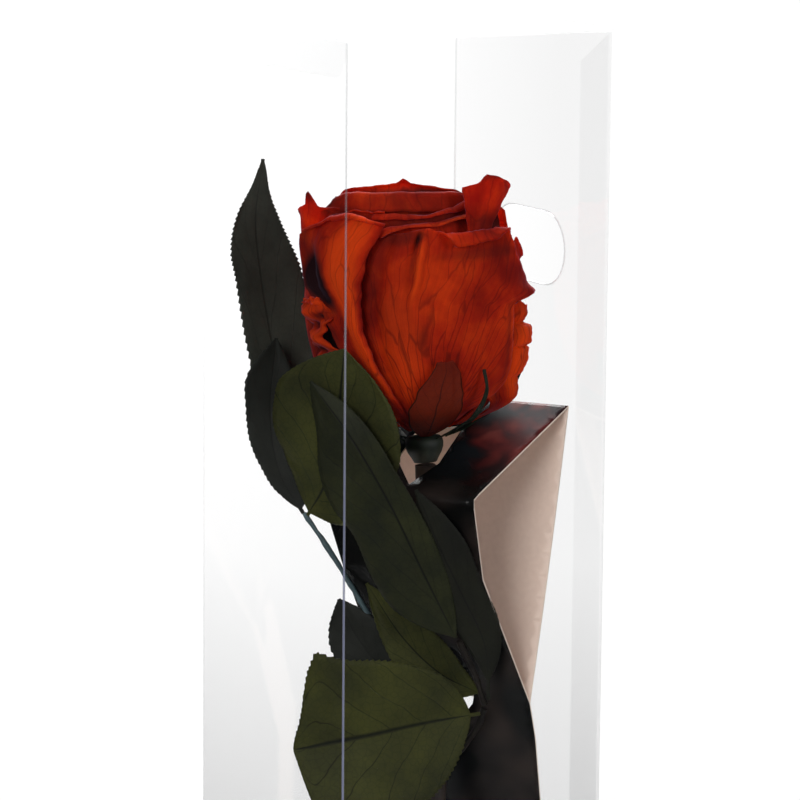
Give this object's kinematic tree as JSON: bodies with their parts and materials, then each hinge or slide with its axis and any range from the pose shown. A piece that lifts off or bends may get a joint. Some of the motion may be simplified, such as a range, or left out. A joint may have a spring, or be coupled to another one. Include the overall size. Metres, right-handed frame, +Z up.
{
  "type": "preserved rose in clear case",
  "caption": "Dried red rose with leaves, held by a folded card insert inside a tall square clear film case with a hinged top lid and a finger slot.",
  "frame": {"origin": "centre of the case's bottom face", "axes": "+Z up along the case; the walls face X and Y; +X is the wall with the finger slot, where the lid is hinged; the view corner is between -X and -Y"},
  "size_m": [0.08, 0.08, 0.32],
  "materials": {
    "film": "clear",
    "card": "glossy print outside, plain beige inside",
    "petal": "dry petal, matte",
    "leaf_dark": "dry leaf, satin",
    "leaf_olive": "dry leaf, satin",
    "stem": "green bark",
    "sepal": "dry leaf, matte"
  },
  "bodies": {
    "case": {"case_sleeve": "film", "case_base": "film", "card_insert": "card", "stem": "stem", "receptacle": "sepal", "stalk_upper": "stem", "stalk_middle": "stem", "stalk_lower": "stem", "leaf_upper_tall": "leaf_dark", "leaf_upper_side": "leaf_dark", "leaf_upper_front": "leaf_olive", "leaf_middle_long": "leaf_olive", "leaf_middle_right": "leaf_olive", "leaf_middle_low": "leaf_olive", "leaf_lower_broad": "leaf_olive", "leaf_lower_back": "leaf_dark", "sepal_1": "sepal", "sepal_2": "sepal", "sepal_3": "sepal", "sepal_4": "sepal", "sepal_5": "sepal", "petal_01": "petal", "petal_02": "petal", "petal_03": "petal", "petal_04": "petal", "petal_05": "petal", "petal_06": "petal", "petal_07": "petal", "petal_08": "petal", "petal_09": "petal", "petal_10": "petal", "petal_11": "petal", "petal_12": "petal", "petal_13": "petal", "petal_14": "petal", "petal_15": "petal", "petal_16": "petal", "petal_17": "petal", "petal_18": "petal", "petal_19": "petal", "petal_20": "petal", "petal_21": "petal", "petal_22": "petal"},
    "lid": {"case_lid": "film"}
  },
  "joints": [
    {"name": "lid_hinge", "type": "hinge", "parent": "case", "child": "lid", "pos_m": [0.03975, 0, 0.31975], "axis": [0, 1, 0], "range_deg": [0, 110]}
  ]
}
